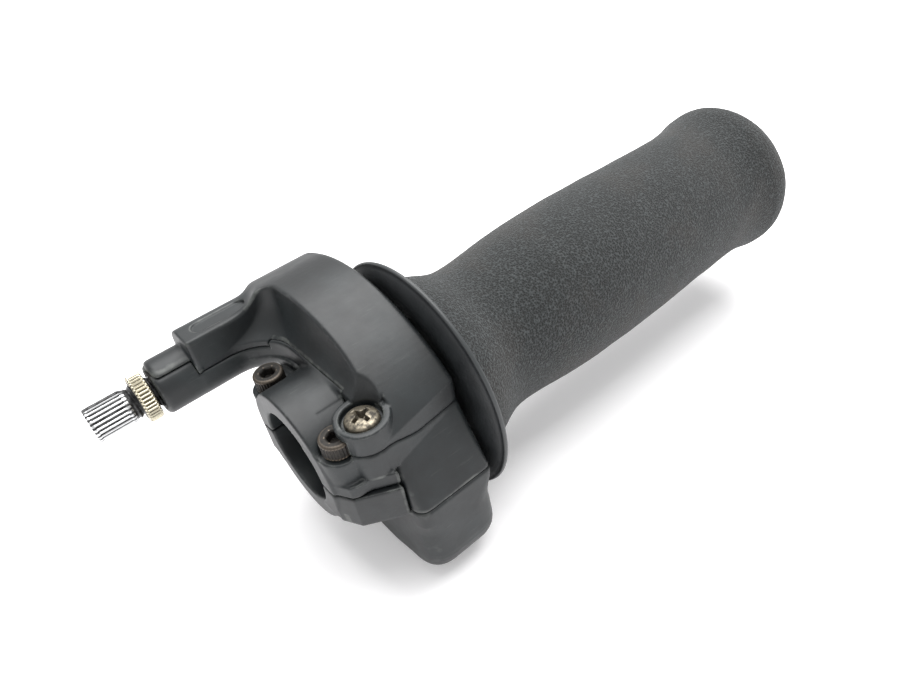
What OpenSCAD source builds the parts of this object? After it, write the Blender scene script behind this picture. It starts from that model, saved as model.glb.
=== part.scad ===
// Twist throttle grip for a 22 mm handlebar, right hand, one cable.
// Origin on the bar axis at the clamp's end face. +X runs along the bar to the
// grip's outer end, +Z runs up the clamp screws, +Y is ahead of the rider.

/* [Handlebar clamp] */
// Diameter of the hole that clamps the bar
bar_hole_d = 22.2; // [22.1:0.05:22.3]
// Radius of the clamp's round back above the bar
saddle_r = 16; // [15.5:0.1:16]
// Distance of each clamp screw from the bar axis
clamp_screw_y = 14.2; // [14:0.1:14.4]
// Place of the clamp screws along the bar
clamp_screw_x = 4.95; // [4.6:0.05:5]
// Height of the flats that the clamp screw heads press on
clamp_seat_z = 9.3; // [9:0.1:9.6]

/* [Drum case] */
// Left face of the drum case along the bar
case_x0 = 11.7; // [11.5:0.1:11.9]
// Right face of the drum case along the bar
case_x1 = 31.5; // [31.4:0.1:31.8]
// Thickness of the case's moulded walls
wall = 2.2; // [2:0.1:2.3]
// Radius of the drum's flanges
drum_r = 17.5; // [17.2:0.1:17.6]
// Radius at which the cable winds on the drum
cable_wind_r = 16.3; // [16:0.1:16.4]

/* [Cable nose] */
// Place of the nose axis ahead of the bar
nose_y = 30.7; // [30.5:0.1:31]
// Height of the nose axis above the bar
nose_z = 12.2; // [12:0.1:12.4]
// Radius of the threaded boss at the end of the nose
nose_r = 6.45; // [6.3:0.05:6.5]
// Left end of the nose along the bar
nose_x0 = -15.9; // [-16.2:0.1:-15.6]
// Thread diameter of the cable adjuster
adjuster_d = 8; // [7.8:0.1:8]

/* [Grip] */
// Hole of the twist tube that turns on the bar
tube_hole_d = 22.7; // [22.6:0.05:22.8]
// Outer diameter of the twist tube
tube_d = 26.4; // [26:0.1:26.6]
// Outer diameter of the flange disc
flange_d = 60; // [58:0.5:60]
// Outer end of the grip along the bar
grip_x1 = 156.5; // [150:0.5:157]
// Radius of the grip at its thickest
grip_r = 21.2; // [19:0.1:21.4]
// Radius of the grip's flared start against the flange
grip_collar_r = 24.5; // [24:0.1:24.8]
// Radius of the grip's flared end
grip_flare_r = 22.4; // [21.5:0.1:22.6]

/* [Hidden] */
$fn = 72;
slip = 0.05;            // running clearance on the radius
near = 0.02;            // gap between pieces that are screwed or pressed together
eps = 0.01;

bar_r = bar_hole_d / 2;
tube_r = tube_d / 2;
screw_pocket_r = 3.8;
split_front_z = -8;     // the case's front splits here, the clamp splits at the bar axis
front_lip_y = -21;      // ahead of this line the middle housing reaches down to split_front_z
cover_z = 7.5;          // the cover sits on the middle housing here
shoulder_z = 16.2;      // and here over the clamp's back
nose_seam_z = 14.4;     // along the thick part of the nose
shell_seam_z = 17.3;    // and along its thin end
shoulder_x = 16;        // inner face of the case's left wall
cover_step_x = 14.9;    // left of this the cover sits on the shoulder
cover_wall_x = 17.6;    // inner face of the cover's leaning left wall
cover_wall_z = 15.1;    // where that thicker wall begins
right_wall_x = 29.3;    // inner face of the case's right wall
pad_top_z = 23.1;       // flat top of the nose
pad_x0 = -6.6;          // left end of the thick part of the nose
screw_boss = [10.8, -16];
screw_boss_r = 6.05;
screw_boss_z0 = 3.2;    // underside of the boss
screw_boss_z1 = 15.6;   // its rim
screw_seat_z = 13.9;
screw_recess_r = 4.45;
screw_head_r = 3.8;
drum_gap = 0.7;         // room round the drum
roller_pos = [17.5, 26.2];
roller_groove_r = 4.5;
lug_angle = 215;        // the drum's stop lug with the throttle closed, from +Y towards +Z
twist = 75;             // travel of the throttle in degrees

// ---- outlines ----

function arc(c, r, a0, a1, n = 12) =
    [for (i = [0 : n]) let (a = a0 + (a1 - a0) * i / n) [c[0] + r * cos(a), c[1] + r * sin(a)]];

// Side outline of the drum case (y, z), pulled in by a wall thickness t
module case_outline(t = 0) {
    top_c = [13.6, -17.7];
    top_r = 45.8 - t;
    front_y = -19.9 + t;
    far_y = 37 - t;
    a_far = acos((far_y - top_c[0]) / top_r);
    a_front = acos((front_y - top_c[0]) / top_r);
    polygon(concat(
        [[front_y, cover_z]],
        [[-27.8 + t, split_front_z]],
        arc([-18.4, -23.5], 10 - t, 180, 270, 8),
        arc([5, -1.5], 32 - t, 270, 360, 18),
        arc(top_c, top_r, a_far, a_front, 24)));
}

// Lays a (y, z) outline between two places along the bar
module along_bar(x0, x1) {
    translate([x0, 0, 0]) rotate([90, 0, 90]) linear_extrude(x1 - x0) children();
}

module bar_cylinder(r, x0, x1, y = 0, z = 0) {
    translate([x0, y, z]) rotate([0, 90, 0]) cylinder(r = r, h = x1 - x0);
}

// Plan of the nose: straight along the bar, then an elbow into the case
module nose_plan(x0) {
    polygon(concat(
        [[x0, nose_y + 6.3], [x0, 24.7]],
        arc([0.2, 13.7], 11, 90, 0, 10),
        [[case_x0 + 1, 13.7], [case_x1, 13.7]],
        arc([case_x1 - 9, nose_y - 2.7], 9, 0, 90, 8)));
}

// Plan of the block that carries the front clamp screw and the cover screw
module clamp_front_plan() {
    polygon([[0, -8], [0, -15], [2.3, -19.4], [6.9, -22], [case_x0 + eps, -24.6], [case_x0 + eps, -8]]);
}

module front_lip_zone(grow = 0) {
    translate([case_x0 - grow, -60, split_front_z]) cube([60, 60 + front_lip_y, 60]);
}

// ---- solid volumes that the three casings are cut from ----

module casing_volume() {
    difference() {
        along_bar(case_x0, case_x1) case_outline();
        // the left wall leans back above the clamp
        translate([case_x0, -8.5, shoulder_z]) rotate([0, 22, 0]) translate([-20, 0, 0])
            cube([20, 36, 30]);
    }
    // flat web from the screw boss to the case's right end
    intersection() {
        translate([0, 0, screw_boss_z0]) linear_extrude(30) polygon([
            [screw_boss[0], screw_boss[1] - screw_boss_r], [case_x1, -19.9], [case_x1, -15],
            [screw_boss[0], -15]]);
        bar_cylinder(45.8, 0, case_x1, 13.6, -17.7);
    }
    // nose and elbow
    intersection() {
        translate([0, 0, 6]) linear_extrude(pad_top_z - 6) nose_plan(pad_x0);
        union() {
            translate([-30, 0, nose_z]) cube([80, 60, 20]);
            bar_cylinder(6.5, -30, case_x1, nose_y, nose_z);
            translate([0.2, 13.7, 0]) cylinder(r = 11 + 6.3, h = nose_z);
            translate([case_x0, 10, 0]) cube([30, 30, nose_z]);
        }
    }
    bar_cylinder(nose_r, nose_x0, 8, nose_y, nose_z);
}

module clamp_upper_volume() {
    intersection() {
        bar_cylinder(saddle_r, 0, case_x0 + eps);
        translate([-1, -30, 0]) cube([20, 60, 30]);
    }
    for (s = [-1, 1]) {
        translate([clamp_screw_x, s * clamp_screw_y, 0]) cylinder(r = 4.7, h = clamp_seat_z);
        translate([clamp_screw_x - 4.7, s > 0 ? 9 : -clamp_screw_y, 0])
            cube([case_x0 - clamp_screw_x + 4.7 + eps, clamp_screw_y - 9, clamp_seat_z]);
    }
    linear_extrude(3.5) clamp_front_plan();
    translate([screw_boss[0], screw_boss[1], screw_boss_z0])
        cylinder(r = screw_boss_r, h = cover_z - screw_boss_z0);
    translate([case_x0 - 2, 8, 0]) cube([4, 9, clamp_seat_z]);
}

module clamp_lower_volume() {
    bar_cylinder(15.6, 0, case_x0 + eps);
    translate([0, 0, -9.5]) linear_extrude(9.5) clamp_front_plan();
    translate([0, 9, -9.5]) cube([case_x0 + eps, 8.2, 9.5]);
    translate([clamp_screw_x, clamp_screw_y, -9.5]) cylinder(r = 4.7, h = 9.5);
}

// Space for the drum, open through the right wall for the tube
module drum_space() {
    along_bar(shoulder_x, right_wall_x) case_outline(wall);
    bar_cylinder(tube_r + 0.6, right_wall_x - 1, case_x1 + 1);
    bar_cylinder(bar_r, -1, shoulder_x + 1);
    // groove of the dust seal
    bar_cylinder(tube_r + 2.1, right_wall_x + 0.5, right_wall_x + 1.8);
}

// Way of the cable from the drum space round the roller to the nose
module cable_way() {
    translate([roller_pos[0], roller_pos[1], 8.4]) cylinder(r = 6.6, h = 8.6);
    translate([19, 18, 9]) cube([6.2, 11, 8]);
    bar_cylinder(2, -8, 18, nose_y, nose_z);
    bar_cylinder(4.9, nose_x0 - 1, -5.8, nose_y, nose_z);
}

module clamp_screw_holes(r, z0, z1) {
    for (s = [-1, 1])
        translate([clamp_screw_x, s * clamp_screw_y, z0]) cylinder(r = r, h = z1 - z0);
}

module pin_holes(grow = 0) {
    translate([21.5, 0, 0]) {
        translate([0, 33.2, -3]) cylinder(r = 1 + grow, h = 6 + grow);
        translate([-7.5, -23.9, split_front_z - 3]) cylinder(r = 0.8 + grow, h = 6 + grow);
    }
}

// Round seat of the cover screw, opening upwards as a scoop
module screw_well() {
    translate([screw_boss[0], screw_boss[1], screw_seat_z]) cylinder(r = screw_recess_r, h = 30);
    translate([screw_boss[0] + 0.6, screw_boss[1] + 0.4, screw_boss_z1])
        cylinder(r1 = screw_recess_r, r2 = 6, h = 9);
    translate([0, -40, screw_boss_z1]) cube([16.2, 40 + screw_boss[1], 20]);
}

// ---- casings ----

// Above the cover's seat, which steps up over the clamp's back and the nose
module above_cover_seat() {
    difference() {
        translate([-40, -60, cover_z]) cube([100, 120, 60]);
        translate([-40, -7.6, 0]) cube([40 + cover_step_x, 70, shoulder_z]);
        translate([-40, 20.3, 0]) cube([100, 40, nose_seam_z]);
        translate([-40, 20.3, 0]) cube([40 + pad_x0, 40, shell_seam_z]);
        bar_cylinder(saddle_r + near, -1, case_x0);
        difference() {
            translate([-40, -60, 0]) cube([40 + 5.7, 120, shoulder_z]);
            translate([screw_boss[0], screw_boss[1], 0]) cylinder(r = screw_boss_r, h = 30);
        }
        bar_cylinder(bar_r + 1.5, -1, cover_step_x);
        // the seats of the clamp screws belong to the clamp
        clamp_screw_holes(screw_pocket_r - 0.05, 0, clamp_seat_z + near);
    }
}

module lower_zone() {
    difference() {
        translate([-40, -60, -60]) cube([100, 120, 60]);
        front_lip_zone();
    }
}

module lower_housing() color("#2b2d2f") {
    difference() {
        union() {
            intersection() {
                casing_volume();
                lower_zone();
            }
            intersection() {
                clamp_lower_volume();
                translate([-1, -60, -60]) cube([60, 120, 60]);
            }
        }
        drum_space();
        clamp_screw_holes(2.15, -40, 1);
        // pockets of the captive nuts
        for (s = [-1, 1])
            translate([clamp_screw_x, s * clamp_screw_y, -40])
                cylinder(r = 4.1, h = 40 - 6.2, $fn = 6);
        pin_holes(0.02);
    }
    // ribs that stop the drum's lug at both ends of its travel
    intersection() {
        along_bar(shoulder_x, 20) case_outline(wall - eps);
        along_bar(shoulder_x, 20) difference() {
            for (a = [lug_angle - 12, lug_angle + twist + 12])
                rotate(a) translate([20.2, -1.25]) square([20, 2.5]);
            translate([-60, -2]) square([120, 60]);
        }
    }
}

module middle_housing() color("#2e3032") {
    difference() {
        union() {
            intersection() {
                casing_volume();
                union() {
                    translate([-40, -60, 0]) cube([100, 120, 60]);
                    front_lip_zone();
                }
            }
            clamp_upper_volume();
            // block that holds the roller's pin
            translate([roller_pos[0], roller_pos[1], 4]) cylinder(r = 7.6, h = 4.4);
        }
        above_cover_seat();
        translate([-40, -60, shoulder_z]) cube([100, 120, 60]);
        difference() {
            drum_space();
            translate([roller_pos[0], roller_pos[1], 4]) cylinder(r = 7.6, h = 4.4);
        }
        bar_cylinder(drum_r + drum_gap, shoulder_x, right_wall_x);
        cable_way();
        clamp_screw_holes(2.15, -1, 40);
        clamp_screw_holes(screw_pocket_r, clamp_seat_z, 40);
        translate([screw_boss[0], screw_boss[1], 3.6]) cylinder(r = 2.62, h = 10);
        translate([screw_boss[0], screw_boss[1], 0.7]) cylinder(r = 2.15, h = 10);
        translate([roller_pos[0], roller_pos[1], 4.9]) cylinder(r = 1.5, h = 10);
        pin_holes(0.02);
    }
}

module cable_cover() color("#2c2e30") {
    difference() {
        union() {
            intersection() {
                union() {
                    casing_volume();
                    // half shell over the threaded boss
                    bar_cylinder(6.95, nose_x0 + 0.4, pad_x0 + 1, nose_y, nose_z);
                }
                union() {
                    above_cover_seat();
                    translate([-40, -60, shoulder_z]) cube([100, 120, 60]);
                }
            }
            intersection() {
                translate([screw_boss[0], screw_boss[1], cover_z])
                    cylinder(r = screw_boss_r, h = screw_boss_z1 - cover_z);
                above_cover_seat();
            }
        }
        difference() {
            union() {
                drum_space();
                bar_cylinder(drum_r + drum_gap, shoulder_x, right_wall_x);
            }
            // the cover's leaning left wall
            translate([0, -60, cover_wall_z]) cube([cover_wall_x, 120, 60]);
        }
        // room of the clamp screw heads, closed above where the boss reaches over one
        clamp_screw_holes(screw_pocket_r, cover_z - 1, clamp_seat_z + 4.1);
        cable_way();
        // the threaded boss of the middle housing, its top is under this cover
        bar_cylinder(4.9, nose_x0 - 1, -5.8, nose_y, nose_z);
        screw_well();
        translate([screw_boss[0], screw_boss[1], 0]) cylinder(r = 2.15, h = 20);
        // recessed oval panel on top of the nose, bare
        translate([0, 0, pad_top_z - 0.5]) linear_extrude(5) hull() {
            translate([-1.4, 28.2]) circle(r = 2.3, $fn = 32);
            translate([8, 28.2]) circle(r = 2.3, $fn = 32);
        }
    }
}

// ---- fasteners and fixed inner pieces ----

module socket_screw(d, head_d, head_h, len, hex) {
    difference() {
        union() {
            cylinder(r = head_d / 2, h = head_h);
            translate([0, 0, -len]) cylinder(r = d / 2, h = len + eps);
        }
        translate([0, 0, head_h - 2.2]) cylinder(r = hex / sqrt(3), h = 3, $fn = 6);
    }
}

module clamp_screws() color("#3a3733") {
    for (s = [-1, 1])
        translate([clamp_screw_x, s * clamp_screw_y, clamp_seat_z])
            socket_screw(4, 7.06, 4, 18.4, 3);
}

module clamp_nuts() color("#6b6d6e") {
    for (s = [-1, 1])
        translate([clamp_screw_x, s * clamp_screw_y, -9.4]) difference() {
            cylinder(r = 4.04, h = 3.2 - near, $fn = 6);
            translate([0, 0, -1]) cylinder(r = 2 + near, h = 6);
        }
}

module cover_screw() color("#a39a86") {
    translate([screw_boss[0], screw_boss[1], 0]) difference() {
        union() {
            translate([0, 0, screw_seat_z]) cylinder(r = screw_head_r, h = 1.6);
            // domed top of the pan head
            translate([0, 0, screw_seat_z + 1.6]) intersection() {
                translate([0, 0, -4.8]) sphere(r = 6);
                cylinder(r = screw_head_r, h = 4);
            }
            translate([0, 0, 1]) cylinder(r = 2, h = screw_seat_z - 1 + eps);
        }
        for (a = [0, 90])
            rotate(a + 12) translate([-1.9, -0.5, screw_seat_z + 1.2]) cube([3.8, 1, 3]);
    }
}

module cover_screw_insert() color("#b08d4a") {
    translate([screw_boss[0], screw_boss[1], 3.62]) difference() {
        cylinder(r = 2.6, h = 3.7);
        translate([0, 0, -1]) cylinder(r = 2 + near, h = 6);
    }
}

module locating_pins() color("#8e9092") {
    pin_holes(0);
}

module nose_insert() color("#6f6553") {
    difference() {
        bar_cylinder(4.88, nose_x0 + 0.1, -6, nose_y, nose_z);
        bar_cylinder(adjuster_d / 2 + slip, nose_x0 - 1, 0, nose_y, nose_z);
    }
}

module roller_pin() color("#8e9092") {
    translate([roller_pos[0], roller_pos[1], 4.92]) cylinder(r = 1.48, h = 11.1);
}

module guide_roller() color("#d8d4c8") {
    translate([roller_pos[0], roller_pos[1], nose_z]) rotate_extrude()
        polygon(concat(
            [[1.48 + slip, -2.6], [5.6, -2.6], [5.6, -1.5]],
            [[roller_groove_r, -0.4], [roller_groove_r, 0.4]],
            [[5.6, 1.5], [5.6, 2.6], [1.48 + slip, 2.6]]));
}

module ring(r0, r1, x0, x1) {
    difference() {
        bar_cylinder(r1, x0, x1);
        bar_cylinder(r0, x0 - 1, x1 + 1);
    }
}

module inner_thrust_washer() color("#d8d4c8") {
    ring(bar_r + 0.2, 14.6, shoulder_x + near, shoulder_x + 0.55);
}

module outer_thrust_washer() color("#d8d4c8") {
    ring(tube_r + 0.15, 17, right_wall_x - 0.6, right_wall_x - near);
}

module dust_seal() color("#4a4743") {
    ring(tube_r + 0.12, tube_r + 2.08, right_wall_x + 0.52, right_wall_x + 1.78);
}

// ---- the twisting pieces ----

drum_x0 = shoulder_x + 1.9;
drum_x1 = right_wall_x - 0.75;

module twist_tube() color("#26272a") {
    difference() {
        union() {
            ring(tube_hole_d / 2, tube_r, shoulder_x + 0.75, grip_x1 - 5);
            // two keys that drive the drum
            for (s = [-1, 1])
                translate([drum_x0, s > 0 ? tube_r - 0.3 : -tube_r - 0.9, -1.5])
                    cube([drum_x1 - drum_x0, 1.2, 3]);
        }
        // groove of the circlip
        ring(tube_r - 0.6, tube_r + 1, drum_x0 - 0.98, drum_x0 - 0.02);
    }
}

module cable_drum() color("#d8d4c8") {
    groove_w = 3.2;
    cable_x = 22;
    difference() {
        union() {
            difference() {
                ring(tube_r + near, drum_r, drum_x0, drum_x1);
                // cable groove, open all round
                ring(cable_wind_r - 1, drum_r + 1, cable_x - groove_w / 2, cable_x + groove_w / 2);
            }
            // stop lug
            along_bar(drum_x0, 19.9) rotate(lug_angle) intersection() {
                translate([drum_r - 1, -2.4]) square([7.2, 4.8]);
                circle(r = drum_r + 5.6);
            }
        }
        // key ways
        for (s = [-1, 1])
            translate([drum_x0 - 1, s > 0 ? tube_r - 1 : -tube_r - 0.92, -1.52])
                cube([drum_x1 - drum_x0 + 2, 1.92, 3.04]);
        // pocket for the nipple of the cable
        rotate([140, 0, 0]) translate([cable_x, cable_wind_r - 1.2, 0]) rotate([0, 90, 0])
            cylinder(r = 2.2, h = 8, center = true);
    }
}

module drum_circlip() color("#5a5c5e") {
    difference() {
        ring(tube_r - 0.55, tube_r + 1.5, drum_x0 - 0.9, drum_x0 - 0.1);
        translate([0, -1.5, -20]) cube([40, 3, 20]);
    }
}

module flange_disc() color("#222326") {
    rim_r = flange_d / 2;
    translate([34.9, 0, 0]) rotate([0, 90, 0]) rotate_extrude($fn = 96)
        polygon(concat(
            [[tube_r + near, -1.2], [19, -1.2], [24, -2.0], [28.2, -1.1]],
            arc([rim_r - 0.9, 0], 0.9, -90, 90, 8),
            [[27.8, 0.5], [24, -0.4], [19, 1.2], [tube_r + near, 1.2]]));
}

module foam_grip() color("#3c3d3f") {
    x0 = 36.3;
    translate([x0, 0, 0]) rotate([0, 90, 0]) rotate_extrude($fn = 72)
        polygon(concat(
            // flared start against the flange
            [[tube_r + near, 0], [grip_collar_r - 0.6, 0], [grip_collar_r, 1],
             [grip_r + 1.3, 5.7], [grip_r - 0.3, 9.7], [grip_r - 1.6, 12.7]],
            [for (i = [0 : 10]) let (t = i / 10) [grip_r - 2.2 + 2.2 * sin(180 * pow(t, 0.85)),
                                                  16 + 80 * t]],
            [[grip_r - 1.6, 103], [grip_flare_r - 0.6, 109]],
            arc([grip_flare_r - 5, grip_x1 - x0 - 6], 5, 20, 70, 5),
            [[grip_flare_r - 6, grip_x1 - x0], [0, grip_x1 - x0], [0, grip_x1 - x0 - 4.9]],
            [[tube_r + near, grip_x1 - x0 - 4.9]]));
}

// ---- adjuster ----

module cable_adjuster() color("#5d5e60") {
    difference() {
        union() {
            bar_cylinder(4.15, -31, -21.5, nose_y, nose_z);
            bar_cylinder(adjuster_d / 2, -21.5 - eps, -7.5, nose_y, nose_z);
        }
        // socket of the cable's outer casing and the way of its inner wire
        bar_cylinder(2.75, -32, -14, nose_y, nose_z);
        bar_cylinder(1.2, -32, 0, nose_y, nose_z);
    }
}

module lock_nut() color("#b9ad86") {
    difference() {
        bar_cylinder(5.95, -20.2, -16.9, nose_y, nose_z);
        bar_cylinder(adjuster_d / 2 + slip, -30, 0, nose_y, nose_z);
    }
}

lower_housing();
middle_housing();
cable_cover();
cover_screw();
cover_screw_insert();
clamp_screws();
clamp_nuts();
locating_pins();
nose_insert();
guide_roller();
roller_pin();
inner_thrust_washer();
outer_thrust_washer();
dust_seal();
twist_tube();
cable_drum();
drum_circlip();
flange_disc();
foam_grip();
cable_adjuster();
lock_nut();
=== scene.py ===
"""Twist throttle grip for a 22 mm handlebar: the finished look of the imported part.

Sizes in this file are in millimetres. The bar axis is X, the clamp's end face is at x = 0,
and Z runs up the clamp screws. Everything is turned to metres when a piece is made.
"""

import math

import bpy
import numpy as np
from mathutils import Matrix


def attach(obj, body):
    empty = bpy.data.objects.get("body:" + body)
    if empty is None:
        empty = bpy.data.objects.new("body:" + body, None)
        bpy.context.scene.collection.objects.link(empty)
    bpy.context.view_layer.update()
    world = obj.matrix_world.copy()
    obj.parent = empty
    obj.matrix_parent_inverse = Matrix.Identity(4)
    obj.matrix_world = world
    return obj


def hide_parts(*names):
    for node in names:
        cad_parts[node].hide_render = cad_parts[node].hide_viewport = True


MM = 0.001

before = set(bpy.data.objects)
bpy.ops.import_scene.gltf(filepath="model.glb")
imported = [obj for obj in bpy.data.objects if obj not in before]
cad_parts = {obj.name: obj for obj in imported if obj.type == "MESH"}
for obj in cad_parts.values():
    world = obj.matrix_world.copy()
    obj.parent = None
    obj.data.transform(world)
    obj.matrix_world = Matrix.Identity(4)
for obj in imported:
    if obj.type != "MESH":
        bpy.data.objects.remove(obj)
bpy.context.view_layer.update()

# ---------------------------------------------------------------- sizes of the part

BAR_R = 11.1            # hole that clamps the bar
TUBE_R = 13.2           # outside of the twist tube
SADDLE_R = 16.0         # round back of the clamp above the bar
CLAMP_SCREW = (4.95, 14.2)
CLAMP_HOLE_R = 2.15     # way of the clamp screws
EAR_R = 4.7             # rounded ears round the clamp screws
CLAMP_Z0 = -9.5         # underside of the clamp's lower blocks
SEAT_Z = 9.3            # flats under the clamp screw heads
HEAD_POCKET_R = 3.8
CASE_X0, CASE_X1 = 11.7, 31.5
CASE_FRONT_Y = -19.9    # front of the drum case under the cover's seam
CASE_TOP, CASE_TOP_R = (13.6, -17.7), 45.8  # the case's round top, (y, z) of its centre
WALL_X0, WALL_X1 = 16.0, 29.3
WALL = 2.2
TUBE_ROOM = 0.6         # gap round the twist tube
NOSE_Y, NOSE_Z = 30.7, 12.2
NOSE_X0 = -15.9
BUSH_R = 4.9            # bore for the threaded bush in the nose
PAD_X0, PAD_Z = -6.6, 23.1
PANEL = (3.3, 28.5)     # middle of the oval panel in the pad, (x, y)
ELBOW = (0.2, 13.7)     # centre of the elbow's bend, seen from above
ELBOW_R = NOSE_Y - ELBOW[1]
BOSS = (10.8, -16.0)    # cover screw
BOSS_R = 6.05
BOSS_Z0, BOSS_Z1 = 3.2, 15.6
BOSS_SEAT_Z = 13.9
RECESS_R = 4.45
COVER_HOLE_R = 2.15     # way of the cover screw
ROLLER = (17.5, 26.2)
DRUM_R = 18.2
COVER_Z, SHOULDER_Z = 7.5, 16.2
NOSE_SEAM_Z, SHELL_SEAM_Z = 14.4, 17.3      # along the thick part of the nose and its thin end
COVER_STEP_X = 14.9     # left of this the cover sits on the shoulder
COVER_WALL_X, COVER_WALL_Z = 17.6, 15.1     # the cover's thicker left wall
LIP_Y, LIP_Z = -21.0, -8.0
FLANGE_X, FLANGE_R = 34.9, 30.0
GRIP_X0, GRIP_X1 = 36.3, 156.5

# ---------------------------------------------------------------- how solids are joined
# A solid is a function of x, y, z that gives the distance to its skin, less than zero inside.


def weld(a, b, r=0.0):
    """Two solids as one, with a hollow fillet of about radius r where they meet."""
    if not np.any(r):
        return np.minimum(a, b)
    h = np.clip(0.5 + 0.5 * (b - a) / r, 0, 1)
    return b + (a - b) * h - r * h * (1 - h)


def trim(a, b, r=0.0):
    """What two solids share, with the edge between them rounded."""
    return -weld(-a, -b, r)


def carve(a, tool, r=0.0):
    """Solid a with the tool's shape cut out and the edge rounded."""
    return trim(a, -tool, r)


def between(v, low, high):
    return np.maximum(low - v, v - high)


def smooth(v, low, high):
    t = np.clip((v - low) / (high - low), 0, 1)
    return t * t * (3 - 2 * t)


def along_bar(x, y, z, r, x0, x1, cy=0.0, cz=0.0, edge=0.4):
    return trim(np.hypot(y - cy, z - cz) - r, between(x, x0, x1), edge)


def upright(x, y, z, centre, r, z0, z1, edge=0.4):
    return trim(np.hypot(x - centre[0], y - centre[1]) - r, between(z, z0, z1), edge)


def arc(centre, r, a0, a1, n):
    a = np.radians(np.linspace(a0, a1, n + 1))
    return np.c_[centre[0] + r * np.cos(a), centre[1] + r * np.sin(a)]


class Outline:
    """A closed outline drawn on a sheet. Called with the sheet's two coordinates it gives
    the distance to the outline, less than zero inside."""

    def __init__(self, points, step=0.1, margin=6.0):
        points = np.asarray(points, float)
        self.low, high = points.min(0) - margin, points.max(0) + margin
        self.step = step
        n = np.ceil((high - self.low) / step).astype(int) + 2
        u = (self.low[0] + step * np.arange(n[0]))[:, None]
        v = (self.low[1] + step * np.arange(n[1]))[None, :]
        far = np.full(n, 1e9)
        inside = np.zeros(n, bool)
        for a, b in zip(points, np.roll(points, -1, 0)):
            e = b - a
            if e @ e < 1e-12:
                continue
            t = np.clip(((u - a[0]) * e[0] + (v - a[1]) * e[1]) / (e @ e), 0, 1)
            far = np.minimum(far, (u - a[0] - t * e[0]) ** 2 + (v - a[1] - t * e[1]) ** 2)
            if a[1] != b[1]:
                inside ^= ((a[1] > v) != (b[1] > v)) & (u < a[0] + (v - a[1]) * e[0] / e[1])
        self.sheet = np.sqrt(far) * np.where(inside, -1, 1)

    def __call__(self, u, v):
        size = self.sheet.shape
        i = np.clip((u - self.low[0]) / self.step, 0, size[0] - 1.001)
        j = np.clip((v - self.low[1]) / self.step, 0, size[1] - 1.001)
        i0, j0 = i.astype(int), j.astype(int)
        i, j = i - i0, j - j0
        s = self.sheet
        return ((s[i0, j0] * (1 - i) + s[i0 + 1, j0] * i) * (1 - j)
                + (s[i0, j0 + 1] * (1 - i) + s[i0 + 1, j0 + 1] * i) * j)


def drum_case_outline():
    """Side of the drum case, (y, z)."""
    far = math.degrees(math.acos((34.88 - CASE_TOP[0]) / CASE_TOP_R))
    front = math.degrees(math.acos((CASE_FRONT_Y - CASE_TOP[0]) / CASE_TOP_R))
    return Outline(np.vstack([
        [[CASE_FRONT_Y, COVER_Z], [-27.8, LIP_Z]],
        arc((-18.4, -23.5), 10, 180, 270, 10),
        arc((5, -1.5), 32, 270, 360, 30),
        arc((33, 19.3), 4, 0, 58, 8),
        arc(CASE_TOP, CASE_TOP_R, far, front, 40)]))


def clamp_front_plan():
    """Plan of the block that carries the front clamp screw, (x, y)."""
    return Outline([[0, -8], [0, -15], [2.3, -19.4], [6.9, -22], [13, -25.2], [13, -8]])


CASE = drum_case_outline()
CLAMP_FRONT = clamp_front_plan()

# ---------------------------------------------------------------- the moulded casings


def drum_case(x, y, z):
    low = 1 - smooth(z, -17, -8)
    body = trim(CASE(y, z), x - CASE_X1, 1.6 + 4.6 * low)
    # over the nose the top runs down towards the clamp's side
    end = 8 + 1.1 * np.maximum(z - PAD_Z, 0) + 0.63 * np.maximum(y - 24.5, 0)
    left = np.where(z < NOSE_Z, CASE_X0 - x, (end - x) * 0.62)
    front = 1 - smooth(y, -19, -10)
    low_front = front * (1 - smooth(z, 4, 9))
    body = trim(body, left, 0.8 + np.maximum(2.6 * low_front, (3.4 + 2.2 * front) * low))
    # flat web from the screw boss to the case's right end
    web = np.maximum(BOSS[1] - BOSS_R + (x - BOSS[0]) * 0.104 - y, y + 15)
    web = np.maximum(web, np.maximum(BOSS[0] - x, BOSS_Z0 - z))
    web = np.maximum(web, np.hypot(y - CASE_TOP[0], z - CASE_TOP[1]) - CASE_TOP_R)
    return np.minimum(body, trim(web, x - CASE_X1, 1.6))


def nose(x, y, z):
    """The cable's way: a round lower half that bends into the drum case, a flat pad above."""
    off = np.where(x < ELBOW[0], y - NOSE_Y, np.hypot(x - ELBOW[0], y - ELBOW[1]) - ELBOW_R)
    tube = np.maximum(np.hypot(off, z - NOSE_Z) - 6.25, 13 - y)
    pad = np.hypot(np.maximum(y - 30, 0), np.maximum(z - PAD_Z + 7, 0)) - 7.0
    body = np.minimum(tube, np.maximum(np.maximum(pad, NOSE_Z - z), 14 - y))
    body = trim(body, PAD_X0 - x, 0.7)
    return trim(body, x - WALL_X1, 0.5)


def elbow_space(x, y, z):
    """Open space between the nose and the clamp. Its wall leans back over the clamp."""
    rise = 1 - np.exp(-np.maximum(z - SHOULDER_Z, 0) / 3.5)
    wall, bend = 11.6 + 4.0 * rise, 11 - 8 * rise
    corner = np.hypot(np.maximum(x - wall + bend, 0), np.maximum(y - 24.5 + bend, 0)) - bend
    return np.maximum(corner, NOSE_Z - 0.3 - z)


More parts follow.
